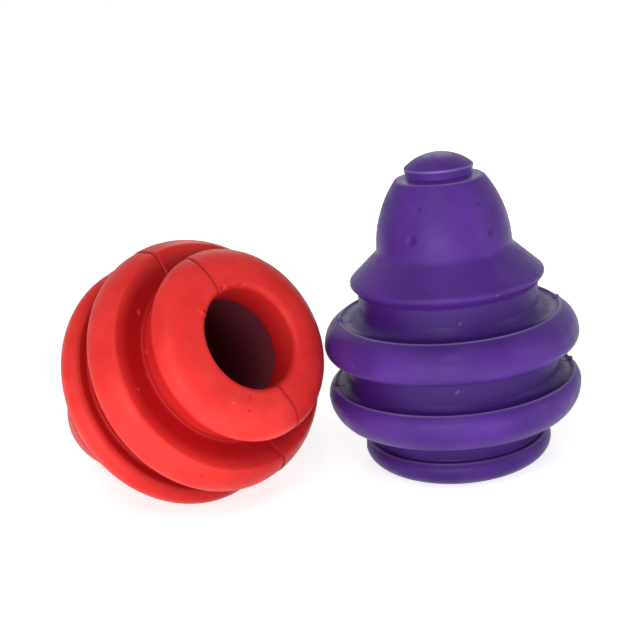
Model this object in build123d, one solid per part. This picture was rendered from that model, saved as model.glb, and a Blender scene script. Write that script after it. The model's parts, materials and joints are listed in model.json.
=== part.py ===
from build123d import *
from math import cos, radians, sin
from typing import NamedTuple
import os

# Two rubber chew toys of one moulding, in millimetres.
# Each toy is a hollow, ribbed cone moulded in one piece: a round mouth in a domed base, two
# bowl-shaped ribs with gutters open upwards, a conical collar, a smooth bell and a small cap.
# The purple toy stands on its base, nose up; its mouth centre, on the floor, is the origin.
# The red toy lies beside it on its shoulder, with its mouth raised and turned to the front (-Y).


class Band(NamedTuple):
    """One bowl-shaped band of the moulding, with a raised lip and a gutter behind it."""
    low_z: float      # height of the lower corner above the mouth plane
    low_r: float      # radius of the lower corner
    belly_r: float    # largest radius
    belly_up: float   # height of the largest radius above the lower corner
    lip_r: float      # radius at the middle of the rounded lip
    lip_up: float     # height of the lip's shoulders above the lower corner
    neck_r: float     # radius of the neck that rises out of the gutter
    neck_up: float    # height where the gutter has turned upright, above the lower corner
    lip_w: float      # width of the rounded lip
    lip_h: float      # height of that rounding


# ---- driving dimensions: outside ----
WIDTH = 65.0                   # across the ribs
HEIGHT = 80.8                  # from the mouth plane to the top of the cap
MOUTH_R = 12.6                 # straight mouth, where treats go in
MOUTH_ROUND = 1.6              # rounding of the mouth's outer edge
FOOT_LAND = 2.2                # width of the flat ring that the toy stands on

BASE = Band(low_z=0.0, low_r=MOUTH_R + MOUTH_ROUND + FOOT_LAND, belly_r=24.2, belly_up=5.2,
            lip_r=22.9, lip_up=7.0, neck_r=21.4, neck_up=7.8, lip_w=1.2, lip_h=0.45)
RIB_2 = Band(low_z=13.6, low_r=29.3, belly_r=WIDTH / 2, belly_up=6.8,
             lip_r=30.8, lip_up=9.4, neck_r=27.2, neck_up=11.1, lip_w=0.8, lip_h=0.3)
RIB_1 = Band(low_z=30.3, low_r=30.0, belly_r=WIDTH / 2, belly_up=3.2,
             lip_r=28.0, lip_up=9.7, neck_r=22.8, neck_up=12.4, lip_w=0.8, lip_h=0.3)
UNDER_RISE = 1.0               # a rib's underside climbs this much on its way in to the neck

COLLAR_LOW_Z = 47.0                          # where the collar grows out of rib 1's neck
COLLAR_TIP_R, COLLAR_TIP_Z = 25.0, 49.5      # its widest ring, before rounding
BELL_R, BELL_Z = 17.1, 56.9                  # foot of the bell, in the crease above the collar
CAP_R, CAP_H = 8.8, 3.6                      # rim of the cap, and the cap's height above it
CAP_SIDE_H, CAP_SIDE_SAG = 2.0, 0.15         # the cap's side below its rim, and how hollow it is
NOTCH_R, NOTCH_H = 8.4, 0.6                  # narrow groove under the cap, and the ledge below it
SHOULDER_R = 11.1                            # upper edge of the bell
CAP_Z = HEIGHT - CAP_H
NOTCH_Z = CAP_Z - CAP_SIDE_H
SHOULDER_Z = NOTCH_Z - NOTCH_H

CORNER_ROUND = 1.1             # lower corners of the ribs
NECK_ROUND = 0.8               # where an underside meets its neck
COLLAR_ROUND = 1.2             # tip and foot of the collar
CREASE_ROUND = 2.2             # soft crease between collar and bell
SHOULDER_ROUND = 0.5
CAP_ROUND = 0.4                # rim of the cap

# ---- driving dimensions: inside ----
MOUTH_LEN = 9.0                # from the mouth plane to the start of the hollow
HOLLOW_R = 18.0                # widest part of the hollow, behind the ribs
HOLLOW_LOW_Z, HOLLOW_HIGH_Z = 17.0, 34.0     # the hollow is that wide between these heights
HOLLOW_NECK_R, HOLLOW_NECK_Z = 9.0, 54.0     # behind the bell's foot
HOLLOW_TIP_R, HOLLOW_TIP_H = 6.5, 4.5        # its domed end
NOSE_WALL = 12.8               # solid rubber from the end of the hollow to the top of the cap
HOLLOW_SAG = 1.2               # rounding of the hollow's widening
HOLLOW_TOP_Z = HEIGHT - NOSE_WALL
HOLLOW_TIP_Z = HOLLOW_TOP_Z - HOLLOW_TIP_H

# ---- marks on the bell of each mould half ----
# Turn from the middle of the half, height below the shoulder, ball radius and depth.
MARKS = [(30.5, 5.5, 0.8, 0.35), (35.7, 12.3, 1.7, 0.5)]

# ---- places ----
PURPLE_SPIN = 1.5              # middle of the purple toy's front half, turned from -Y to +X
TOY_GAP = 1.5                  # least gap between the two toys
RED_FORWARD = 22.0             # red toy's mouth centre, in front of the purple toy's axis
RED_START = 2 * WIDTH          # it is slid up to the purple toy from this far to the left
RED_TURN = 45.4                # its mouth looks this far from -Y to +X
RED_SPIN = 81.0                # its mould halves, turned about its own axis
OUTLINE_STEPS = 24             # points on each edge of the profile, for finding how the toy lies
TILT_STEP = 0.001              # how closely the tilt is found, in degrees
QUARTER_TURN = 90.0            # in degrees
SLIDE_STEPS = 6                # slides that bring the red toy up to its gap


# ---- ways from one point of the profile to the next, with X as radius and Y as height ----
def straight(a, b):
    """Line."""
    return Line(a, b)


def bulge(sag):
    """Way along an arc that bulges by sag to the right of its run, which is out of the rubber."""
    def arc(a, b):
        run = b - a
        return ThreePointArc(a, (a + b) / 2 + Vector(run.Y, -run.X).normalized() * sag, b)
    return arc


def tangent_arc(a, b, off):
    """Arc whose tangent at one end leaves the other end off by that much to the side."""
    chord = (b - a).length
    radius = chord ** 2 / (2 * off)
    return bulge(radius - (radius ** 2 - chord ** 2 / 4) ** 0.5)(a, b)


def upright(a, b):
    """Outward arc that stands upright at its wider end."""
    return tangent_arc(a, b, abs(b.X - a.X))


def hollow(a, b):
    """Hollow arc that stands upright at its narrower end, seen from outside the rubber."""
    return upright(b, a)


def dome(a, b):
    """Arc with its centre on the toy's axis, between the axis and a rim."""
    return tangent_arc(a, b, abs(b.Y - a.Y))


def inner_dome(a, b):
    """The same on the wall of the hollow, seen from inside the rubber."""
    return dome(b, a)


def quarter_ellipse(a, b):
    """Outward curve that is level at its lower end and upright at its upper end."""
    return EllipticalCenterArc((a.X, b.Y), b.X - a.X, b.Y - a.Y, start_angle=-QUARTER_TURN,
                               arc_size=QUARTER_TURN)


def band_steps(band, top_z, low_wall=upright):
    """Steps up one band: corner, belly, rounded lip, gutter and neck, to the neck's top."""
    lip_z = band.low_z + band.lip_up
    return [
        (band.low_r, band.low_z, straight),
        (band.belly_r, band.low_z + band.belly_up, low_wall),
        (band.lip_r + band.lip_w / 2, lip_z, upright),
        (band.lip_r - band.lip_w / 2, lip_z, bulge(band.lip_h)),
        (band.neck_r, band.low_z + band.neck_up, hollow),
        (band.neck_r, top_z, straight),
    ]


def profile_steps():
    """Steps (radius, height, way there), up the outside from the mouth's edge to the top of the
    cap, and down the hollow to the mouth again."""
    edge_sag = MOUTH_ROUND * (1 - cos(radians(45)))
    return [
        (MOUTH_R, MOUTH_ROUND, straight),
        (MOUTH_R + MOUTH_ROUND, 0, bulge(edge_sag)),
        *band_steps(BASE, RIB_2.low_z + UNDER_RISE, quarter_ellipse),
        *band_steps(RIB_2, RIB_1.low_z + UNDER_RISE),
        *band_steps(RIB_1, COLLAR_LOW_Z),
        (COLLAR_TIP_R, COLLAR_TIP_Z, straight),
        (BELL_R, BELL_Z, straight),
        (SHOULDER_R, SHOULDER_Z, upright),
        (NOTCH_R, NOTCH_Z, straight),
        (CAP_R, CAP_Z, bulge(-CAP_SIDE_SAG)),
        (0, HEIGHT, dome),
        (0, HOLLOW_TOP_Z, straight),
        (HOLLOW_TIP_R, HOLLOW_TIP_Z, inner_dome),
        (HOLLOW_NECK_R, HOLLOW_NECK_Z, straight),
        (HOLLOW_R, HOLLOW_HIGH_Z, bulge(-HOLLOW_SAG)),
        (HOLLOW_R, HOLLOW_LOW_Z, straight),
        (MOUTH_R, MOUTH_LEN, bulge(-HOLLOW_SAG)),
    ]


def rounded(face, corners, radius):
    """The profile with the named corners rounded."""
    picked = [face.vertices().sort_by_distance((r, z, 0))[0] for r, z in corners]
    return fillet(picked, radius)


def profile():
    """Half section of the toy: X is the radius and Y the height above the mouth plane."""
    steps = profile_steps()
    corners = [Vector(r, z) for r, z, _ in steps]
    ways = [way for _, _, way in steps]
    face = make_face([ways[i](corners[i - 1], corners[i]) for i in range(len(steps))])
    necks = [(BASE.neck_r, RIB_2.low_z), (RIB_2.neck_r, RIB_1.low_z)]
    face = rounded(face, [(rib.low_r, rib.low_z) for rib in (RIB_2, RIB_1)], CORNER_ROUND)
    face = rounded(face, [(r, z + UNDER_RISE) for r, z in necks], NECK_ROUND)
    face = rounded(face, [(RIB_1.neck_r, COLLAR_LOW_Z), (COLLAR_TIP_R, COLLAR_TIP_Z)], COLLAR_ROUND)
    face = rounded(face, [(BELL_R, BELL_Z)], CREASE_ROUND)
    face = rounded(face, [(CAP_R, CAP_Z)], CAP_ROUND)
    return rounded(face, [(SHOULDER_R, SHOULDER_Z)], SHOULDER_ROUND)


def bell_radius(z):
    """Radius of the bell's side at a height, on the arc through its foot and its shoulder."""
    side = upright(Vector(BELL_R, BELL_Z), Vector(SHOULDER_R, SHOULDER_Z))
    centre = side.arc_center
    return centre.X + (side.radius ** 2 - (z - centre.Y) ** 2) ** 0.5


def moulding():
    """One toy, standing on its base, with the middle of its front mould half towards -Y."""
    body = Rot(X=QUARTER_TURN) * revolve(profile(), Axis.Y)
    for turn, down, ball, depth in MARKS:
        z = SHOULDER_Z - down
        centre = Pos(0, -bell_radius(z) - ball + depth, z)
        for half in (0, 2 * QUARTER_TURN):
            for side in (-turn, turn):
                body -= Rot(Z=half + side) * centre * Sphere(ball)
    return body


# ---- how the toy lies ----
def outline_points():
    """Points along the profile, close enough together to find the lowest one of a tilted toy."""
    return [side @ (i / OUTLINE_STEPS) for side in profile().edges() for i in range(OUTLINE_STEPS)]


def lowest_ring(points, tilt):
    """Depth below the mouth's centre and height on its own axis of the lowest ring, nose down."""
    turn = radians(tilt)
    return max((p.X * cos(turn) + p.Y * sin(turn), p.Y) for p in points)


def rest_tilt(points):
    """Tilt at which the toy rests both on rib 1 and on what lies nearer to its nose."""
    low, high = 0.0, 60.0
    shoulder_z = RIB_1.low_z + RIB_1.lip_up + RIB_1.lip_h
    while high - low > TILT_STEP:
        middle = (low + high) / 2
        if lowest_ring(points, middle)[1] > shoulder_z:
            high = middle
        else:
            low = middle
    return low


points = outline_points()
tilt = rest_tilt(points)
depth = lowest_ring(points, tilt)[0]

toy = moulding()
purple = Rot(Z=PURPLE_SPIN) * toy
red = (Pos(-RED_START, -RED_FORWARD, depth) * Rot(Z=RED_TURN) * Rot(X=-QUARTER_TURN - tilt)
       * Rot(Z=RED_SPIN) * toy)
for _ in range(SLIDE_STEPS):
    red = Pos(X=purple.distance_to(red) - TOY_GAP) * red

nodes = {"purple_chew_toy": purple, "red_chew_toy": red}

os.makedirs("parts", exist_ok=True)
for name, solid in nodes.items():
    export_step(solid, f"parts/{name}.step")
print(f"red toy: nose {tilt:.2f} degrees down, mouth centre at {red.location.position},"
      f" gap {purple.distance_to(red):.3f} mm")
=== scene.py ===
import json
import logging
import math
from dataclasses import dataclass
from enum import Enum
from typing import Any

import bpy
import numpy as np
from mathutils import Matrix, Vector


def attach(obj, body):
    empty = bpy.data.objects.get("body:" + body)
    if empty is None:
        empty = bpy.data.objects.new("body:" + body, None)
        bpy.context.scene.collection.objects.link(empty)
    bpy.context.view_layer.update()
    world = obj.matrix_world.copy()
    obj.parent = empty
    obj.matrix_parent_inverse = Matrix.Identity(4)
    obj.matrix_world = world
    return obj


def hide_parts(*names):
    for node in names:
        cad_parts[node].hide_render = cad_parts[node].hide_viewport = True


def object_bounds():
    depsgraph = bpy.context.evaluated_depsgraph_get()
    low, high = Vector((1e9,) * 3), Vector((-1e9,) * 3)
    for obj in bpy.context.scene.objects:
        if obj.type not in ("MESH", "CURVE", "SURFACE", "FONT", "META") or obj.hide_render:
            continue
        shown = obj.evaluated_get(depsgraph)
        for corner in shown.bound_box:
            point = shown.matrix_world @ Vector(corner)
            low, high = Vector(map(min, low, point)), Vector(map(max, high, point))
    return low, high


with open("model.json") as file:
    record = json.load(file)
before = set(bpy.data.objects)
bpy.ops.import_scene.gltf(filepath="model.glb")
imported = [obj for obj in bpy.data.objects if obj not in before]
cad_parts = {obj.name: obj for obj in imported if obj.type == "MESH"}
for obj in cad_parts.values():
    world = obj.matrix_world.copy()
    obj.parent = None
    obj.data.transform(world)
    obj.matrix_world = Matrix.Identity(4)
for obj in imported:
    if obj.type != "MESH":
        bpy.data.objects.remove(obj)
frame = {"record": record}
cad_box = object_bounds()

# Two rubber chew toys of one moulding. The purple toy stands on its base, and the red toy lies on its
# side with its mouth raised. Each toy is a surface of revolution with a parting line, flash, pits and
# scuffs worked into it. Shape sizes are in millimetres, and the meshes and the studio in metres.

Array = np.ndarray
MM = 0.001
# points on a rounded corner, fine steps round the axis, and corners of the floor
CURVE_POINTS = 15
FINE_TURNS = 7200
FLOOR_SIDES = 96
log = logging.getLogger("chew_toys")


# ---------------------------------------------------------------- the moulding's half section

class Way(Enum):
    """How the section runs from one corner to the next."""
    STRAIGHT = "a line"
    BULGE = "an arc that leaves the line by its sag, out of the rubber"
    UPRIGHT = "an outward arc that stands upright at its wider end"
    HOLLOW = "a hollow arc that stands upright at its narrower end"
    DOME = "an arc with its centre on the toy's axis"
    INNER_DOME = "the same on the wall of the hollow"
    QUARTER = "a quarter ellipse, level at its lower end and upright at its upper end"


@dataclass(frozen=True)
class Step:
    """One corner of the section, with the way that leads to it.

    Args:
        radius: distance from the axis.
        height: height above the mouth plane.
        way: kind of run from the corner before.
        sag: how far a BULGE leaves the straight line.
        rounding: radius that rounds this corner.
    """
    radius: float
    height: float
    way: Way = Way.STRAIGHT
    sag: float = 0.0
    rounding: float = 0.0


@dataclass(frozen=True)
class Band:
    """One bowl-shaped band of the moulding, with a raised lip and a gutter behind it.

    Args:
        low_z: height of its lower corner.
        low_r: radius of its lower corner.
        belly_r: radius of its widest place.
        belly_up: height of that over the lower corner.
        lip_r: radius of the lip's middle.
        lip_up: height of the lip's foot over the lower corner.
        neck_r: radius of the neck above the band.
        neck_up: height of the gutter's floor over the lower corner.
        lip_w: width of the lip.
        lip_h: height of the lip over its foot.
        low_wall: way from the lower corner to the belly.
        low_round: rounding of the lower corner.
    """
    low_z: float
    low_r: float
    belly_r: float
    belly_up: float
    lip_r: float
    lip_up: float
    neck_r: float
    neck_up: float
    lip_w: float
    lip_h: float
    low_wall: Way = Way.UPRIGHT
    low_round: float = 0.0


def side_of(run: Array) -> Array:
    """Returns the unit vector to the right of a run, which points out of the rubber."""
    return np.array([run[1], -run[0]]) / np.hypot(*run)


def run_of_way(a: Array, b: Array, step: Step, grain: float) -> Array:
    """Points from a to b.

    A tangent arc that leaves a chord c by d at its far end has the radius c * c / (2 d). An arc of
    sag s on a chord c turns through 4 atan(2 s / c).

    Args:
        a: start, as radius and height.
        b: end.
        step: the step that ends at b.
        grain: distance between points.

    Returns:
        Points without the first one, as rows of radius and height.
    """
    run = b - a
    chord = float(np.hypot(*run))
    share = np.linspace(0.0, 1.0, max(2, int(chord / grain)) + 1)[1:, None]
    if step.way is Way.QUARTER:
        turn = math.pi / 2 * (share - 1.0)
        return np.array([a[0], b[1]]) + np.hstack([np.cos(turn), np.sin(turn)]) * run
    sag = step.sag
    if step.way in (Way.UPRIGHT, Way.HOLLOW, Way.DOME, Way.INNER_DOME):
        off = abs(run[0]) if step.way in (Way.UPRIGHT, Way.HOLLOW) else abs(run[1])
        radius = chord ** 2 / (2 * off)
        sag = radius - math.sqrt(radius ** 2 - chord ** 2 / 4)
        sag = -sag if step.way in (Way.HOLLOW, Way.INNER_DOME) else sag
    if abs(sag) < 1e-9:
        return a + share * run
    half = 2 * math.atan(2 * sag / chord)
    radius = chord / (2 * math.sin(half))
    turn = (2 * share - 1) * half
    return ((a + b) / 2 + run / chord * radius * np.sin(turn)
            + side_of(run) * radius * (np.cos(turn) - math.cos(half)))


def cross(a: Array, b: Array) -> float:
    """Returns the sine of the turn from one flat vector to another, times both lengths."""
    return float(a[0] * b[1] - a[1] * b[0])


def arc_length(path: Array) -> Array:
    """Returns the distance along a path at each of its points."""
    return np.r_[0.0, np.cumsum(np.hypot(*np.diff(path, axis=0).T))]


def round_corner(path: Array, corner: Array, radius: float) -> Array:
    """Rounds one corner of a path.

    The stretch within radius * tan(turn / 2) of the corner becomes a rational curve of the second
    degree, with the corner as its middle point and cos(turn / 2) as that point's weight. Between two
    straight runs this is the circle of that radius.

    Args:
        path: rows of radius and height.
        corner: the corner's place.
        radius: rounding.

    Returns:
        The new path.
    """
    at = int(np.argmin(np.hypot(*(path - corner).T)))
    before, after = path[at] - path[at - 1], path[at + 1] - path[at]
    turn = abs(math.atan2(cross(before, after), float(before @ after)))
    cut = radius * math.tan(turn / 2)
    along = arc_length(path)
    first, last = (np.array([np.interp(along[at] + d, along, c) for c in path.T]) for d in (-cut, cut))
    t = np.linspace(0.0, 1.0, CURVE_POINTS)[:, None]
    weight = 2 * math.cos(turn / 2) * t * (1 - t)
    curve = ((1 - t) ** 2 * first + weight * path[at] + t ** 2 * last) / ((1 - t) ** 2 + weight + t ** 2)
    return np.vstack([path[along < along[at] - cut], curve, path[along > along[at] + cut]])


@dataclass(frozen=True)
class Moulding:
    """The shape that both toys share, in its own frame: mouth plane at height 0, nose up.

    Its section runs from the end of the hollow, out of the mouth and up the outside to the cap. A
    turn of 0 is the middle of the front mould half, and a turn of 90 degrees is the parting line.

    Args:
        height: height of the whole toy.
        mouth_r: radius of the mouth's straight wall.
        mouth_len: height at which the mouth opens into the hollow.
        mouth_round: rounding of the mouth's outer edge.
        base: the base, with the flat foot ring between its lower corner and the mouth.
        rib_2: the lower rib.
        rib_1: the upper rib.
        under_rise: how far each neck runs up inside the band above.
        neck_round: rounding at the top of a neck.
        collar: steps up the collar, the bell, the shoulder, the notch and the cap's side.
        collar_low_z: height at which the upper neck ends under the collar.
        collar_round: rounding there.
        hollow: steps down the hollow, from its end to above the mouth.
        hollow_sag: sag of the wall that narrows from the hollow to the mouth.
        rows: rows of the mesh.
        plain_rows: relative number of rows for each millimetre, outside and in the hollow.
        curved_rows: what a curvature of 1 per millimetre adds to that.
        sharpest: curvature above which no more rows are added.
        seam_step: degrees between columns at the parting lines.
        side_step: degrees between columns elsewhere.
        seam_zone: degrees from the parting line at which the columns spread out.
    """
    height: float = 80.8
    mouth_r: float = 12.6
    mouth_len: float = 9.0
    mouth_round: float = 1.6
    base: Band = Band(low_z=0.0, low_r=16.4, belly_r=24.2, belly_up=5.2, lip_r=22.9, lip_up=7.0,
                      neck_r=21.4, neck_up=7.8, lip_w=1.2, lip_h=0.45, low_wall=Way.QUARTER)
    rib_2: Band = Band(low_z=13.6, low_r=29.3, belly_r=32.5, belly_up=6.8, lip_r=30.8, lip_up=9.4,
                       neck_r=27.2, neck_up=11.1, lip_w=0.8, lip_h=0.3, low_round=1.1)
    rib_1: Band = Band(low_z=30.3, low_r=30.0, belly_r=32.5, belly_up=3.2, lip_r=28.0, lip_up=9.7,
                       neck_r=22.8, neck_up=12.4, lip_w=0.8, lip_h=0.3, low_round=1.1)
    under_rise: float = 1.0
    neck_round: float = 0.8
    collar: tuple[Step, ...] = (
        Step(25.0, 49.5, rounding=1.2),
        Step(17.1, 56.9, rounding=2.2),
        Step(11.1, 74.6, Way.UPRIGHT, rounding=0.5),
        Step(8.4, 75.2),
        Step(8.8, 77.2, Way.BULGE, -0.15, rounding=0.4))
    collar_low_z: float = 47.0
    collar_round: float = 1.2
    hollow: tuple[Step, ...] = (
        Step(0.0, 68.0),
        Step(6.5, 63.5, Way.INNER_DOME),
        Step(9.0, 54.0),
        Step(18.0, 34.0, Way.BULGE, -1.2),
        Step(18.0, 17.0))
    hollow_sag: float = 1.2
    rows: int = 356
    plain_rows: tuple[float, float] = (1.4, 0.45)
    curved_rows: tuple[float, float] = (3.0, 0.8)
    sharpest: float = 2.0
    seam_step: float = 0.3
    side_step: float = 1.6
    seam_zone: float = 3.2

    def band_steps(self, band: Band, top_z: float, top_round: float) -> list[Step]:
        """Returns the steps up one band, from its lower corner to the top of its neck."""
        lip_z = band.low_z + band.lip_up
        return [
            Step(band.low_r, band.low_z, rounding=band.low_round),
            Step(band.belly_r, band.low_z + band.belly_up, band.low_wall),
            Step(band.lip_r + band.lip_w / 2, lip_z, Way.UPRIGHT),
            Step(band.lip_r - band.lip_w / 2, lip_z, Way.BULGE, band.lip_h),
            Step(band.neck_r, band.low_z + band.neck_up, Way.HOLLOW),
            Step(band.neck_r, top_z, rounding=top_round)]

    def section(self, grain: float = 0.04) -> Array:
        """Works out the section from the sizes.

        Args:
            grain: distance between points.

        Returns:
            The section as closely spaced rows of radius and height.
        """
        edge_sag = self.mouth_round * (1 - math.cos(math.pi / 4))
        steps = [
            *self.hollow,
            Step(self.mouth_r, self.mouth_len, Way.BULGE, -self.hollow_sag),
            Step(self.mouth_r, self.mouth_round),
            Step(self.mouth_r + self.mouth_round, 0.0, Way.BULGE, edge_sag),
            *self.band_steps(self.base, self.rib_2.low_z + self.under_rise, self.neck_round),
            *self.band_steps(self.rib_2, self.rib_1.low_z + self.under_rise, self.neck_round),
            *self.band_steps(self.rib_1, self.collar_low_z, self.collar_round),
            *self.collar,
            Step(0.0, self.height, Way.DOME)]
        corners = [np.array([step.radius, step.height]) for step in steps]
        path = np.vstack([corners[0][None]] + [
            run_of_way(a, b, step, grain) for a, b, step in zip(corners, corners[1:], steps[1:])])
        for step, corner in zip(steps, corners):
            if step.rounding:
                path = round_corner(path, corner, step.rounding)
        return path

    def spaced_rows(self, path: Array, fineness: int = 12, smoothing: int = 9) -> Array:
        """Picks the rows of the mesh from the closely spaced section.

        Rows per millimetre grow with the section's curvature, so that lips and creases get rows
        several times closer than the hollow's straight walls.

        Args:
            path: closely spaced section.
            fineness: number of points, for each row, on which the curvature is measured.
            smoothing: number of points over which it is averaged.

        Returns:
            The section at the mesh's rows.
        """
        along = arc_length(path)
        even = np.linspace(0.0, along[-1], fineness * self.rows)
        fine = np.column_stack([np.interp(even, along, c) for c in path.T])
        heading = np.unwrap(np.arctan2(*np.gradient(fine, axis=0).T[::-1]))
        bend = np.abs(np.gradient(heading, even))
        bend = np.minimum(np.convolve(bend, np.ones(smoothing) / smoothing, mode="same"), self.sharpest)
        outside = even > self.mouth_at(path)
        density = np.where(outside, *self.plain_rows) + bend * np.where(outside, *self.curved_rows)
        count = np.r_[0.0, np.cumsum((density[1:] + density[:-1]) / 2)]
        picked = np.interp(np.linspace(0.0, count[-1], self.rows), count, even)
        return np.column_stack([np.interp(picked, along, c) for c in path.T])

    def mouth_at(self, path: Array) -> float:
        """Returns the distance along the section at which the mouth's straight wall starts."""
        corner = np.array([self.mouth_r, self.mouth_len])
        return float(arc_length(path)[np.argmin(np.hypot(*(path - corner).T))])

    def painted_shade(self, section: Array, full: float = 4.6, low: float = 0.55, rim: float = 0.4) -> Array:
        """How deep each row lies in a groove or in the mouth, from 0 to 1, as painted shade.

        A row's depth is how far it lies under the convex outline of the outside, between the
        base's belly and the collar's tip, over the full depth. The outline is walked upwards,
        and each point that the next one turns back over is dropped. The mouth's wall runs from
        the rim's value, behind its rounded edge, to 1 at its inner end.

        Args:
            section: the section at the mesh's rows.
            full: depth that counts as 1, in millimetres.
            low: share of it in the groove over the base, which is more open, so its painted shade is
                lighter.
            rim: value at the mouth's rim.

        Returns:
            One value for each row.
        """
        radius, height = section.T
        rim_r = self.mouth_r + self.mouth_round
        outline: list[Array] = []
        for point in section[int(np.argmin(height)):]:
            while len(outline) > 1 and cross(outline[-1] - outline[-2], point - outline[-1]) < 0:
                outline.pop()
            outline.append(point)
        hull_r, hull_z = np.array(outline).T
        # painted shade: darker the deeper a row lies under the outline
        depth = np.clip((np.interp(height, hull_z, hull_r) - radius) / full, 0.0, 1.0)
        depth *= (height > self.base.belly_up) & (height < self.collar[0].height)
        depth *= np.where(height < self.rib_2.low_z, low, 1.0)
        # painted shade in the mouth, darker towards its inner end
        wall = np.clip(height / self.mouth_round, 0.0, rim)
        wall += (1.0 - rim) * np.clip(height / self.mouth_len, 0.0, 1.0)
        return np.where((radius < rim_r) & (height < self.mouth_len + 1e-3), wall, depth)

    def turns(self) -> Array:
        """Works out the columns, which are close together at both parting lines.

        With x as the way from the nearest parting line over the seam's zone, the step between
        columns goes from the seam's step to the side's by the share 1 - exp(-x ** 4).

        Returns:
            The columns' turns in radians.
        """
        fine = np.linspace(0.0, 2 * math.pi, FINE_TURNS + 1)
        off = np.degrees(np.minimum(np.abs(fine - math.pi / 2), np.abs(fine - 3 * math.pi / 2)))
        near = np.exp(-(off / self.seam_zone) ** 4)
        step = self.side_step + (self.seam_step - self.side_step) * near
        count = np.r_[0.0, np.cumsum(1.0 / step[1:])]
        columns = int(count[-1] * math.degrees(fine[1]) + 0.5)
        return np.interp(np.linspace(0.0, count[-1], columns + 1)[:-1], count, fine)


# ---------------------------------------------------------------- marks of moulding and use

@dataclass(frozen=True)
class PartingLine:
    """The line where the two mould halves met.

    Args:
        crease: depth of the fine groove along it.
        crease_w: half width of that groove.
        mismatch: how far the back half lies under the front half.
        fade: distance over which the mismatch runs out.
        offset: how far the line lies behind the middle.
        wander: how far it wanders to either side.
        waves: lengths over which its long and its short waves turn by one radian.
        worn: share of the groove's depth that comes and goes along it.
        worn_wave: length over which that turns by one radian.
        step_w: width of the step of the mismatch.
        nub: height of the flash that stands up where it crosses a lip.
        nub_w: half width of that flash across the line.
        nub_up: half width of it along the line.
        nub_at: how far it stands in front of the line.
    """
    crease: float = 0.4
    crease_w: float = 0.22
    mismatch: float = 0.2
    fade: float = 3.0
    offset: float = 0.5
    wander: float = 0.55
    waves: tuple[float, float] = (5.3, 2.1)
    worn: float = 0.25
    worn_wave: float = 3.7
    step_w: float = 0.06
    nub: float = 0.7
    nub_w: float = 0.3
    nub_up: float = 0.55
    nub_at: float = 0.25

    def gap(self, place: Array, along: Array) -> Array:
        """Distance of each point behind the line, which wanders as a sum of two sine waves.

        Args:
            place: (rows, columns, 3) points of the plain moulding.
            along: distance of each row along the section.

        Returns:
            (rows, columns) distances, below 0 in front of the line.
        """
        s, side = along[:, None], np.sign(place[..., 0])
        long_wave, short_wave = self.waves
        line = self.wander * (np.sin(s / long_wave + side) + 0.5 * np.sin(s / short_wave + 2 * side))
        return place[..., 1] - self.offset - line

    def shade(self, gap: Array) -> Array:
        """Returns the painted shade along the line's crease, as a bell curve twice as wide as its groove.
        """
        return np.exp(-(gap / (2 * self.crease_w)) ** 2)

    def relief(self, gap: Array, along: Array, side: Array, lips: list[float]) -> Array:
        """Height of the surface over the plain moulding near the line.

        The groove is a bell curve of the distance from the line. The mismatch is a step at the
        line that dies away exponentially behind it. Each nub is a bell curve in both directions.

        Args:
            gap: (rows, columns) distances behind the line.
            along: distance of each row along the section.
            side: -1 or 1 for the two parting lines.
            lips: distances along the section of the lips.

        Returns:
            (rows, columns) heights, mostly below 0.
        """
        s = along[:, None]
        left = 1.0 - self.worn + self.worn * np.sin(s / self.worn_wave + 1.3 * side)
        relief = -self.crease * left * np.exp(-(gap / self.crease_w) ** 2)
        step = 1.0 / (1.0 + np.exp(-gap / self.step_w))
        relief -= self.mismatch * step * np.exp(-np.maximum(gap, 0.0) / self.fade)
        for lip in lips:
            across, up = (gap + self.nub_at) / self.nub_w, (s - lip) / self.nub_up
            relief += self.nub * np.exp(-across ** 2 - up ** 2)
        return relief


@dataclass(frozen=True)
class Mark:
    """A pit, dimple, scuff or speck.

    Args:
        turn: degrees from the middle of the front half.
        radius: distance from the axis, near the surface.
        height: height above the mouth plane, near the surface.
        around: half size around the toy.
        up: half size along the section.
        depth: depth, below 0 for a raised spot.
        rim: height of the burr round it.
        painted_dent_shade: how far painted shade darkens it, from 0 to 1.
        pale: how far it is rubbed or dusted pale, from 0 to 1.
        through: half size through the wall.
        rim_at: place of the burr's crest, with the mark's edge at 1.
        rim_w: half width of the burr, in the same measure.
    """
    turn: float
    radius: float
    height: float
    around: float
    up: float
    depth: float
    rim: float = 0.0
    painted_dent_shade: float = 0.0
    pale: float = 0.0
    through: float = 2.0
    rim_at: float = 1.15
    rim_w: float = 0.3

    def shape(self, place: Array, section: Array) -> tuple[Array, Array]:
        """Height of the surface over the plain moulding in and round the mark, and its strength.

        With q as the distance from its middle over its half size, the strength is (1 - q * q)
        squared inside q = 1, the mark is depth times that, and its burr is a bell curve round it.

        Args:
            place: (rows, columns, 3) points of the plain moulding.
            section: the section at the mesh's rows.

        Returns:
            (rows, columns) heights, and strengths from 0 to 1.
        """
        row = int(np.argmin(np.hypot(*(section - (self.radius, self.height)).T)))
        angle = math.radians(self.turn)
        out = np.array([math.sin(angle), -math.cos(angle), 0.0])
        across = np.array([math.cos(angle), math.sin(angle), 0.0])
        rise = section[row + 1] - section[row - 1]
        rise = (out * rise[0] + np.array([0.0, 0.0, rise[1]])) / np.hypot(*rise)
        off = place - (out * section[row, 0] + np.array([0.0, 0.0, section[row, 1]]))
        u, v, w = off @ across, off @ rise, off @ np.cross(across, rise)
        q = np.sqrt((u / self.around) ** 2 + (v / self.up) ** 2 + (w / self.through) ** 4)
        strength = np.clip(1 - q * q, 0.0, None) ** 2
        burr = self.rim * np.exp(-((q - self.rim_at) / self.rim_w) ** 2)
        return burr - self.depth * strength, strength
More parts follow.
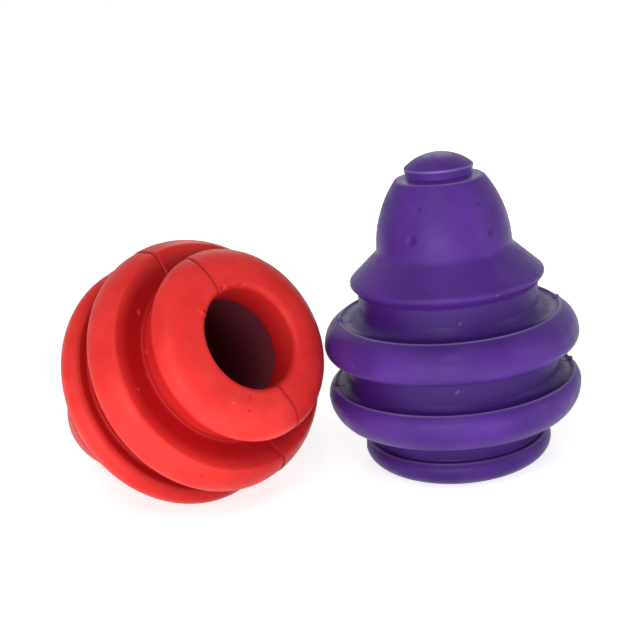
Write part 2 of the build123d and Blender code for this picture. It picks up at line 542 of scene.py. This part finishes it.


# A mark is given by its turn, radius and height, its half sizes around and up, and its depth.

# pits high on the bell and dimples low on it, on each mould half, with painted shade inside
NOSE_MARKS = tuple(
    Mark(turn + half, radius, height, size, 0.9 * size, depth, rim=0.04, painted_dent_shade=painted_dent_shade)
    for half in (0.0, 180.0)
    for turn, radius, height, size, depth, painted_dent_shade in (
        (-30.5, 13.9, 69.1, 0.9, 0.42, 0.9), (30.5, 13.9, 69.1, 0.85, 0.4, 0.9),
        (-35.7, 16.0, 62.3, 1.7, 0.6, 1.0), (35.7, 16.0, 62.3, 1.6, 0.6, 1.0)))

# dust specks in the grooves and on the lower rib
PURPLE_SPECKS = tuple(
    Mark(turn, radius, height, 0.3, 0.25, -0.04, pale=0.9)
    for turn, radius, height in ((13.7, 22.8, 45.0), (-1.1, 22.7, 43.5), (-6.0, 27.2, 27.4),
                                 (23.3, 32.5, 20.3), (20.5, 24.3, 49.0)))

# scuffs at the mouth's edge, then small pits, both with painted shade inside,
# then pale scratches in the groove over the base
RED_MARKS = (
    Mark(-125.1, 13.1, 0.45, 0.7, 1.6, 0.5, rim=0.22, painted_dent_shade=0.7),
    Mark(-87.8, 13.4, 0.2, 1.2, 0.6, 0.35, rim=0.16, painted_dent_shade=0.6),
    Mark(-63.4, 13.2, 0.4, 1.6, 0.55, 0.35, rim=0.18, painted_dent_shade=0.7),
    Mark(131.5, 14.8, 0.0, 0.4, 1.2, 0.35, rim=0.12, painted_dent_shade=0.8),
    Mark(132.3, 18.8, 0.3, 0.5, 0.4, 0.2, painted_dent_shade=0.9),
    Mark(137.2, 31.0, 15.4, 0.6, 0.5, 0.3, painted_dent_shade=0.9),
    Mark(-125.0, 23.8, 14.3, 0.5, 0.3, 0.1, pale=0.8),
    Mark(-135.8, 22.0, 14.4, 0.3, 0.9, 0.1, pale=0.6),
    Mark(-151.6, 21.4, 12.9, 0.3, 0.8, 0.1, pale=0.6),
    Mark(-165.0, 22.2, 14.4, 0.3, 0.9, 0.1, pale=0.5))


# ---------------------------------------------------------------- materials

# sizes of the patterns on the rubber, in metres
CLOUD = 0.014
FLOW_MARK = 0.004
FLOW_DEPTH = 0.00025
GRAIN = 0.0005
GRAIN_DEPTH = 0.00006
DUST_CELL = 0.009
DUST_EDGE = 0.00027
DUST_MIDDLE = 0.000162
CORE_BLOTCH = 0.005
CORE_DEPTH = 0.0002

# a mix node's two colours and its result, by socket number, because their names are used twice
FIRST, SECOND, MIXED = 6, 7, 2


def linear(hex_colour: str) -> tuple[float, float, float, float]:
    """Turns an sRGB hex colour into linear values, with an alpha of 1.

    The sRGB curve is a line up to 0.04045 and a power of 2.4 above it.
    """
    parts = [int(hex_colour[i:i + 2], 16) / 255 for i in (1, 3, 5)]
    red, green, blue = (c / 12.92 if c <= 0.04045 else ((c + 0.055) / 1.055) ** 2.4 for c in parts)
    return (red, green, blue, 1.0)


def add_node(tree: bpy.types.NodeTree, kind: str, inputs: dict[Any, Any] | None = None,
             **settings: Any) -> bpy.types.Node:
    """Adds a node with its settings and links.

    Args:
        tree: node tree of a material or world.
        kind: the node's type.
        inputs: socket name or number to a value, or to the socket that feeds it.
        settings: attributes of the node.

    Returns:
        The node.
    """
    node = tree.nodes.new(kind)
    for name, value in settings.items():
        setattr(node, name, value)
    for name, value in (inputs or {}).items():
        if isinstance(value, bpy.types.NodeSocket):
            tree.links.new(value, node.inputs[name])
        else:
            node.inputs[name].default_value = value
    return node


@dataclass(frozen=True)
class MouldedRubber:
    """Moulded natural rubber with a satin skin.

    Such rubber takes a faint grain from the blasted steel mould, pale blooming on its worn edges, and
    dust that clings to it. Its colour also holds painted shade in the grooves and the mouth, and a
    painted highlight along the lips.

    Args:
        name: name of the material.
        colour: colour of the skin.
        deep: colour of its darker clouds.
        shade: colour of the painted shade in the grooves, the mouth, the parting line's crease and the
            pits.
        bloom_and_highlight: colour of worn edges and dust, and of the painted highlight on the lips.
        roughness: roughness of the clean skin.
        gloss: strength of its reflection, 0.5 being that of clean rubber of IOR 1.5.
    """
    name: str
    colour: str
    deep: str
    shade: str
    bloom_and_highlight: str
    roughness: float = 0.4
    gloss: float = 0.16

    def material(self) -> bpy.types.Material:
        """Builds the material from noise in Object coordinates and the mesh's own attributes."""
        made = bpy.data.materials.new(self.name)
        made.use_nodes = True
        tree = made.node_tree
        tree.nodes.clear()
        place = add_node(tree, "ShaderNodeTexCoord").outputs["Object"]
        # one attribute pales worn edges and paints a highlight on the lips; the other paints shade into
        # the grooves, the mouth, the parting line's crease and the pits
        wear_and_highlight = add_node(tree, "ShaderNodeAttribute", attribute_name="wear_and_highlight").outputs["Fac"]
        painted_shade = add_node(tree, "ShaderNodeAttribute", attribute_name="painted_shade").outputs["Fac"]
        # clouds of pigment about 14 mm across, and flow marks about 4 mm across
        clouds = add_node(tree, "ShaderNodeTexNoise", {"Vector": place, "Scale": 1 / CLOUD, "Detail": 3.0})
        flow = add_node(tree, "ShaderNodeTexNoise", {"Vector": place, "Scale": 1 / FLOW_MARK,
                                                     "Detail": 2.0, "Distortion": 0.6})
        # mould grain, drawn at 0.5 mm: the real grain of about 0.05 mm is too fine to show
        grain = add_node(tree, "ShaderNodeTexNoise", {"Vector": place, "Scale": 1 / GRAIN, "Detail": 2.0})
        # soft dust specks up to 0.5 mm across, where the middle of a 9 mm cell lies in the skin
        cells = add_node(tree, "ShaderNodeTexVoronoi", {"Vector": place, "Scale": 1 / DUST_CELL})
        speck = add_node(tree, "ShaderNodeMapRange", {
            "Value": cells.outputs["Distance"], "From Min": DUST_EDGE / DUST_CELL,
            "From Max": DUST_MIDDLE / DUST_CELL, "To Min": 0.0, "To Max": 0.45})
        tone = add_node(tree, "ShaderNodeMapRange", {"Value": clouds.outputs["Fac"], "From Min": 0.35,
                                                     "From Max": 0.65})
        base = add_node(tree, "ShaderNodeMix", {"Factor": tone.outputs[0], FIRST: linear(self.deep),
                                                SECOND: linear(self.colour)}, data_type="RGBA")
        # painted shade: the shade colour mixed in where the rows lie deep
        painted_shade_mix = add_node(tree, "ShaderNodeMix", {"Factor": painted_shade, FIRST: base.outputs[MIXED],
                                                 SECOND: linear(self.shade)}, data_type="RGBA")
        # pale worn edges and dust, with the painted highlight on the lips
        pale = add_node(tree, "ShaderNodeMath", {0: wear_and_highlight, 1: speck.outputs[0]}, operation="MAXIMUM")
        skin = add_node(tree, "ShaderNodeMix", {"Factor": pale.outputs[0], FIRST: painted_shade_mix.outputs[MIXED],
                                                SECOND: linear(self.bloom_and_highlight)}, data_type="RGBA")
        gloss = add_node(tree, "ShaderNodeMapRange", {"Value": flow.outputs["Fac"], "From Min": 0.3,
                                                      "From Max": 0.7, "To Min": self.roughness - 0.05,
                                                      "To Max": self.roughness + 0.07})
        rough = add_node(tree, "ShaderNodeBump", {"Height": grain.outputs["Fac"], "Strength": 0.25,
                                                  "Distance": GRAIN_DEPTH})
        waves = add_node(tree, "ShaderNodeBump", {"Height": flow.outputs["Fac"], "Strength": 0.5,
                                                  "Distance": FLOW_DEPTH, "Normal": rough.outputs[0]})
        shader = add_node(tree, "ShaderNodeBsdfPrincipled", {
            "Base Color": skin.outputs[MIXED], "Roughness": gloss.outputs[0], "IOR": 1.5,
            "Specular IOR Level": self.gloss, "Normal": waves.outputs[0]})
        add_node(tree, "ShaderNodeOutputMaterial", {"Surface": shader.outputs[0]})
        return made


@dataclass(frozen=True)
class HollowShadeSkin:
    """Dull, darker skin in the hollow, which paints the shade that falls there.

    Args:
        name: name of the material.
        colour: colour of the skin.
    """
    name: str
    colour: str

    def material(self) -> bpy.types.Material:
        """Builds a matt material with faint blotches about 5 mm across."""
        made = bpy.data.materials.new(self.name)
        made.use_nodes = True
        tree = made.node_tree
        tree.nodes.clear()
        place = add_node(tree, "ShaderNodeTexCoord").outputs["Object"]
        blotch = add_node(tree, "ShaderNodeTexNoise", {"Vector": place, "Scale": 1 / CORE_BLOTCH,
                                                       "Detail": 3.0})
        dull = add_node(tree, "ShaderNodeMapRange", {"Value": blotch.outputs["Fac"], "To Min": 0.75,
                                                     "To Max": 0.95})
        bump = add_node(tree, "ShaderNodeBump", {"Height": blotch.outputs["Fac"], "Strength": 0.4,
                                                 "Distance": CORE_DEPTH})
        # a dark colour that paints the shade in the hollow
        shader = add_node(tree, "ShaderNodeBsdfPrincipled", {
            "Base Color": linear(self.colour), "Roughness": dull.outputs[0], "IOR": 1.5,
            "Normal": bump.outputs[0]})
        add_node(tree, "ShaderNodeOutputMaterial", {"Surface": shader.outputs[0]})
        return made


# ---------------------------------------------------------------- the toys

@dataclass
class ChewToy:
    """One toy: the shared moulding with its own marks, colour and place.

    Args:
        name: name of the piece.
        node: the part's node that it stands for.
        body: the body that it moves with.
        slot: its material slot; not used.
        place: 4x4 placing from the moulding's frame to the part's, in millimetres.
        skin: finish of its outside and its mouth.
        hollow_shade: darker finish of its hollow, as painted shade.
        marks: pits, dimples, scuffs and specks.
        moulding: the shared shape.
        parting: its parting line.
        edge_wear_and_highlight: how pale the edges are, from rubbing and from a painted highlight, from 0
            to 1.
        pale_edge_bend: curvature above which an edge turns pale, in 1 per millimetre.
        lip_line: half width of the pale line on a lip, partly rubbed and partly a painted highlight, in
            millimetres.
        patches: number of places round the toy where the pale edges are stronger.
        patch: share of the wear that comes and goes with them.
        patch_slant: radians by which they shift for each millimetre along the section.
        pole_fade: radius inside which the relief dies away, in millimetres.
    """
    name: str
    node: str
    body: str
    slot: str
    place: Array
    skin: MouldedRubber
    hollow_shade: HollowShadeSkin
    marks: tuple[Mark, ...]
    moulding: Moulding
    parting: PartingLine
    edge_wear_and_highlight: float = 0.6
    pale_edge_bend: float = 0.9
    lip_line: float = 0.4
    patches: int = 5
    patch: float = 0.2
    patch_slant: float = 0.3
    pole_fade: float = 3.0

    def surface(self) -> tuple[Array, dict[str, Array], Array]:
        """Works the toy out on a grid of rows up the section and columns round the axis.

        A point at radius r, height z and turn a is (r sin a, -r cos a, z), moved along the section's
        normal by the relief of the parting line and the marks.

        Returns:
            (rows, columns, 3) points in millimetres, the (rows, columns) attributes from 0 to 1 by
            name, and for each row whether it is in the hollow.
        """
        path = self.moulding.section()
        section = self.moulding.spaced_rows(path)
        along = arc_length(section)
        turns = self.moulding.turns()
        ring = np.stack([np.sin(turns), -np.cos(turns)], axis=-1)
        spread = np.broadcast_to(section[:, None, 1:], (len(section), len(turns), 1))
        plain = np.concatenate([section[:, None, :1] * ring, spread], axis=-1)
        tangent = np.gradient(section, axis=0)
        normal = np.stack([tangent[:, 1], -tangent[:, 0]], axis=-1) / np.hypot(*tangent.T)[:, None]
        rise = np.broadcast_to(normal[:, None, 1:], spread.shape)
        outward = np.concatenate([normal[:, None, :1] * ring, rise], axis=-1)
        outside = along >= self.moulding.mouth_at(path) - 1e-6
        lips = self.lip_places(section, along)
        gap = self.parting.gap(plain, along)
        relief = self.parting.relief(gap, along, np.sign(plain[..., 0]), lips)
        # pale edges: rubbing plus a painted highlight on the lips; then painted shade in grooves, mouth,
        # crease and pits
        wear_and_highlight = self.edge_lines(section, along, turns, lips) * outside[:, None]
        painted_shade = np.where(outside, self.moulding.painted_shade(section), 1.0)[:, None]
        # painted shade along the parting line's crease
        painted_shade = np.maximum(painted_shade, self.parting.shade(gap))
        for mark in self.marks:
            height, strength = mark.shape(plain, section)
            relief += height
            # painted shade inside pits, dimples and scuffs
            painted_shade = np.maximum(painted_shade, mark.painted_dent_shade * strength)
            wear_and_highlight = np.maximum(wear_and_highlight, mark.pale * strength)
        relief *= np.minimum(section[:, :1] / self.pole_fade, 1.0) * outside[:, None]
        return plain + outward * relief[..., None], {"wear_and_highlight": wear_and_highlight, "painted_shade": painted_shade}, ~outside

    def lip_places(self, section: Array, along: Array) -> list[float]:
        """Returns the distances along the section of the three lips."""
        bands = (self.moulding.base, self.moulding.rib_2, self.moulding.rib_1)
        lips = [(band.lip_r, band.low_z + band.lip_up) for band in bands]
        return [float(along[np.argmin(np.hypot(*(section - lip).T))]) for lip in lips]

    def edge_lines(self, section: Array, along: Array, turns: Array, lips: list[float]) -> Array:
        """Works out how pale the edges are, from rubbing and from a painted highlight on the lips and
        sharp edges.

        An edge past the foot ring pales by what its curvature has above the least that counts,
        at most 1, and a lip by a bell curve of the distance from it, which paints a highlight on it.
        A sine wave round the toy and along the section makes the patches.

        Args:
            section: the section at the mesh's rows.
            along: distance of each row along the section.
            turns: turn of each column.
            lips: distances along the section of the lips.

        Returns:
            (rows, columns) paleness from 0 to 1, partly worn and partly painted highlight.
        """
        tangent = np.gradient(section, axis=0)
        bend = np.gradient(np.unwrap(np.arctan2(tangent[:, 1], tangent[:, 0])), along)
        past_foot = along > along[int(np.argmin(section[:, 1]))]
        edge = np.clip(bend - self.pale_edge_bend, 0.0, 1.0) * past_foot
        # pale line on each lip: partly rubbing, partly a painted highlight
        for lip in lips:
            edge = np.maximum(edge, np.exp(-((along - lip) / self.lip_line) ** 2))
        wave = np.sin(self.patches * turns + self.patch_slant * along[:, None])
        return self.edge_wear_and_highlight * edge[:, None] * (1.0 - self.patch + self.patch * wave)

    def build(self) -> bpy.types.Object:
        """Makes the mesh, closed by a single point at each pole, and dresses and places it.

        Returns:
            The toy's object.
        """
        points, attributes, inside = self.surface()
        rows, columns = points.shape[:2]
        rings = points[1:-1].reshape(-1, 3)
        verts = np.vstack([points[0, :1], rings, points[-1, :1]])
        verts = (verts @ self.place[:3, :3].T + self.place[:3, 3]) * MM
        ids = 1 + np.arange((rows - 2) * columns).reshape(rows - 2, columns)
        after = np.roll(ids, -1, axis=1)
        quads = np.stack([ids[:-1], after[:-1], after[1:], ids[1:]], axis=-1).reshape(-1, 4)
        first, last = np.zeros(columns, int), np.full(columns, len(verts) - 1)
        fans = np.vstack([np.stack([first, after[0], ids[0]], axis=-1),
                          np.stack([ids[-1], after[-1], last], axis=-1)])
        mesh = bpy.data.meshes.new(self.name)
        mesh.from_pydata(verts.tolist(), [], quads.tolist() + fans.tolist())
        mesh.materials.append(self.skin.material())
        mesh.materials.append(self.hollow_shade.material())
        slots = np.zeros(len(mesh.polygons), np.int32)
        slots[:len(quads)] = np.repeat(inside[1:-2], columns)
        slots[len(quads):len(quads) + columns] = 1
        mesh.polygons.foreach_set("material_index", slots)
        mesh.polygons.foreach_set("use_smooth", np.ones(len(mesh.polygons), bool))
        for name, grid in attributes.items():
            values = np.r_[grid[0, 0], grid[1:-1].ravel(), grid[-1, 0]]
            mesh.attributes.new(name, "FLOAT", "POINT").data.foreach_set("value", values)
        mesh.update()
        toy = bpy.data.objects.new(self.name, mesh)
        bpy.context.scene.collection.objects.link(toy)
        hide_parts(self.node)
        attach(toy, self.body)
        log.info("%s: %d points, %d faces, on %s", self.name, len(verts), len(mesh.polygons), self.body)
        return toy


def turned(axis: str, degrees: float) -> Array:
    """Returns the 4x4 turn about one axis."""
    return np.array(Matrix.Rotation(math.radians(degrees), 4, axis))


def lying_place(mouth: dict[str, Any], wall_middle: float, spin: float) -> Array:
    """Placing of a lying toy, worked out from its mouth in the part's record.

    Args:
        mouth: the mouth's mount, with a point on its axis and the axis outwards, in metres.
        wall_middle: distance of that point behind the mouth plane.
        spin: turn of the toy about its own axis, in degrees.

    Returns:
        4x4 placing in millimetres.
    """
    out = np.array(mouth["axis"], float)
    centre = np.array(mouth["pos_m"], float) / MM + out * wall_middle
    heading = math.degrees(math.atan2(out[0], -out[1]))
    tilt = math.degrees(math.asin(out[2]))
    place = turned("Z", heading) @ turned("X", -90.0 - tilt) @ turned("Z", spin)
    place[:3, 3] = centre
    return place


# ---------------------------------------------------------------- the studio

@dataclass(frozen=True)
class SoftLamp:
    """A soft square lamp that looks at the toys, or else straight up.

    Args:
        name: name of the lamp.
        place: where it stands, in metres.
        size: its side, in metres.
        power: its power, in watts.
        upward: whether it looks straight up.
    """
    name: str
    place: tuple[float, float, float]
    size: float
    power: float
    upward: bool = False

    def build(self, toys: Array) -> None:
        """Adds the lamp, turned to the middle of the toys or straight up."""
        light = bpy.data.lights.new(self.name, "AREA")
        light.size, light.energy = self.size, self.power
        lamp = bpy.data.objects.new(self.name, light)
        bpy.context.scene.collection.objects.link(lamp)
        ahead = Vector((0.0, 0.0, 1.0)) if self.upward else Vector(toys) - Vector(self.place)
        lamp.location = self.place
        lamp.rotation_euler = ahead.to_track_quat("-Z", "Y").to_euler()
        lamp.visible_camera = False


@dataclass
class Studio:
    """Pale floor, soft light and the camera.

    Args:
        camera_place: the camera, in metres.
        camera_down: degrees by which it looks down.
        camera_roll: degrees by which it is rolled.
        lens: focal length in millimetres.
        sensor: width of the sensor, in millimetres.
        floor_r: radius of the floor, in metres.
        white_near: distance from the origin up to which the least white is added, in metres.
        white_far: distance from which the floor is plain white, in metres.
        white_least: the least white, which leaves the shadow to show.
        world_light: strength of the surroundings as light.
        lamps: the lamps.
    """
    camera_place: tuple[float, float, float] = (-0.03297, -0.29332, 0.1302)
    camera_down: float = 16.94
    camera_roll: float = 6.07
    lens: float = 67.5
    sensor: float = 36.0
    floor_r: float = 3.0
    white_near: float = 0.12
    white_far: float = 0.3
    white_least: float = 0.72
    world_light: float = 0.12
    lamps: tuple[SoftLamp, ...] = (
        SoftLamp("front_softbox", (-0.22, -0.85, 0.14), 0.45, 3.7),
        SoftLamp("high_softbox", (-0.15, -0.60, 0.80), 0.40, 2.0),
        SoftLamp("left_softbox", (-0.60, -0.60, 0.35), 0.45, 0.7),
        SoftLamp("right_softbox", (0.80, -0.30, 0.25), 0.40, 1.1),
        SoftLamp("back_softbox", (0.10, 0.80, 0.60), 0.40, 1.5),
        SoftLamp("bounce_from_the_floor", (-0.03, -0.20, 0.002), 0.30, 0.36, upward=True),
    )

    def add_camera(self) -> None:
        """Adds the camera: looking along +Y, tilted down, then rolled."""
        down, roll = math.radians(self.camera_down), math.radians(self.camera_roll)
        ahead = np.array([0.0, math.cos(down), -math.sin(down)])
        upright = np.array([0.0, math.sin(down), math.cos(down)])
        level = np.array([1.0, 0.0, 0.0])
        right = level * math.cos(roll) - upright * math.sin(roll)
        up = upright * math.cos(roll) + level * math.sin(roll)
        data = bpy.data.cameras.new("camera")
        data.lens, data.sensor_width = self.lens, self.sensor
        camera = bpy.data.objects.new("camera", data)
        bpy.context.scene.collection.objects.link(camera)
        matrix = np.eye(4)
        matrix[:3, :3] = np.column_stack([right, up, -ahead])
        matrix[:3, 3] = self.camera_place
        camera.matrix_world = Matrix(matrix.tolist())
        bpy.context.scene.camera = camera

    def add_floor(self) -> None:
        """Adds the floor, a flat disc of paper with plain white added for the camera and for gloss."""
        turn = np.linspace(0.0, 2 * math.pi, FLOOR_SIDES + 1)[:-1]
        verts = np.column_stack([np.cos(turn), np.sin(turn), 0 * turn]) * self.floor_r
        mesh = bpy.data.meshes.new("floor")
        mesh.from_pydata(verts.tolist(), [], [list(range(len(turn)))])
        floor = bpy.data.objects.new("floor", mesh)
        bpy.context.scene.collection.objects.link(floor)
        material = bpy.data.materials.new("white studio paper")
        material.use_nodes = True
        tree = material.node_tree
        tree.nodes.clear()
        place = add_node(tree, "ShaderNodeTexCoord").outputs["Object"]
        far = add_node(tree, "ShaderNodeVectorMath", {0: place}, operation="LENGTH")
        fade = add_node(tree, "ShaderNodeMapRange", {
            "Value": far.outputs["Value"], "From Min": self.white_near, "From Max": self.white_far,
            "To Min": self.white_least, "To Max": 1.0}, interpolation_type="SMOOTHSTEP")
        seen = self.seen_directly(tree)
        share = add_node(tree, "ShaderNodeMath", {0: fade.outputs[0], 1: seen}, operation="MULTIPLY")
        paper = add_node(tree, "ShaderNodeBsdfDiffuse", {"Color": linear("#FAFAFA")})
        white = add_node(tree, "ShaderNodeEmission", {"Color": linear("#FFFFFF"),
                                                      "Strength": share.outputs[0]})
        mix = add_node(tree, "ShaderNodeAddShader", {0: paper.outputs[0], 1: white.outputs[0]})
        add_node(tree, "ShaderNodeOutputMaterial", {"Surface": mix.outputs[0]})
        mesh.materials.append(material)

    @staticmethod
    def seen_directly(tree: bpy.types.NodeTree) -> bpy.types.NodeSocket:
        """Returns a socket that is 1 for camera, glossy and transmission rays and 0 for others."""
        ray = add_node(tree, "ShaderNodeLightPath").outputs
        two = add_node(tree, "ShaderNodeMath", {0: ray["Is Camera Ray"], 1: ray["Is Glossy Ray"]},
                       operation="MAXIMUM")
        return add_node(tree, "ShaderNodeMath", {0: two.outputs[0], 1: ray["Is Transmission Ray"]},
                        operation="MAXIMUM").outputs[0]

    def add_world(self) -> None:
        """Adds the white surroundings, dimmer as light than as seen."""
        world = bpy.data.worlds.new("white surroundings")
        bpy.context.scene.world = world
        world.use_nodes = True
        tree = world.node_tree
        tree.nodes.clear()
        glow = add_node(tree, "ShaderNodeMapRange", {"Value": self.seen_directly(tree),
                                                     "To Min": self.world_light, "To Max": 1.0})
        background = add_node(tree, "ShaderNodeBackground", {"Color": linear("#FFFFFF"),
                                                             "Strength": glow.outputs[0]})
        add_node(tree, "ShaderNodeOutputWorld", {"Surface": background.outputs[0]})

    def build(self) -> None:
        """Adds the camera, the floor, the surroundings and the lamps."""
        self.add_camera()
        self.add_floor()
        self.add_world()
        low, high = (np.array(corner) for corner in cad_box)
        for lamp in self.lamps:
            lamp.build((low + high) / 2)
        view = bpy.context.scene.view_settings
        view.view_transform = "Standard"
        log.info("studio: %d lamps", len(self.lamps))


# ---------------------------------------------------------------- both toys

# turns of the toys about their own axes, in degrees
PURPLE_SPIN = 1.5
RED_SPIN = 81.0
# distance from the mouth plane to the mouth's mount, in millimetres
MOUTH_WALL_MIDDLE = 5.3


def build_toys() -> list[bpy.types.Object]:
    """Builds the purple toy and the red toy.

    Returns:
        Their objects.
    """
    moulding = Moulding()
    mouths = {mount["name"]: mount for mount in frame["record"]["mounts"]}
    purple = ChewToy(
        name="purple_rubber_toy", node="purple_chew_toy", body="purple_toy", slot="purple_rubber",
        place=turned("Z", PURPLE_SPIN),
        # colours: skin, darker clouds, painted shade, and pale edges with a painted highlight
        skin=MouldedRubber("purple moulded rubber", "#582F90", "#49267C", "#3C1B6C", "#9A85BE"),
        hollow_shade=HollowShadeSkin("purple hollow painted shade", "#2A1240"),
        marks=NOSE_MARKS + PURPLE_SPECKS,
        moulding=moulding, parting=PartingLine())
    red = ChewToy(
        name="red_rubber_toy", node="red_chew_toy", body="red_toy", slot="red_rubber",
        place=lying_place(mouths["red_mouth"], MOUTH_WALL_MIDDLE, RED_SPIN),
        skin=MouldedRubber("red moulded rubber", "#F83C38", "#E42E2C", "#B01418", "#FF8F88"),
        hollow_shade=HollowShadeSkin("red hollow painted shade", "#8C3044"),
        marks=NOSE_MARKS + RED_MARKS,
        moulding=moulding, parting=PartingLine())
    return [toy.build() for toy in (purple, red)]


def main() -> None:
    """Builds the toys and the studio."""
    logging.basicConfig(level=logging.INFO, format="%(name)s: %(message)s")
    build_toys()
    Studio().build()


if __name__ == "__main__":
    main()
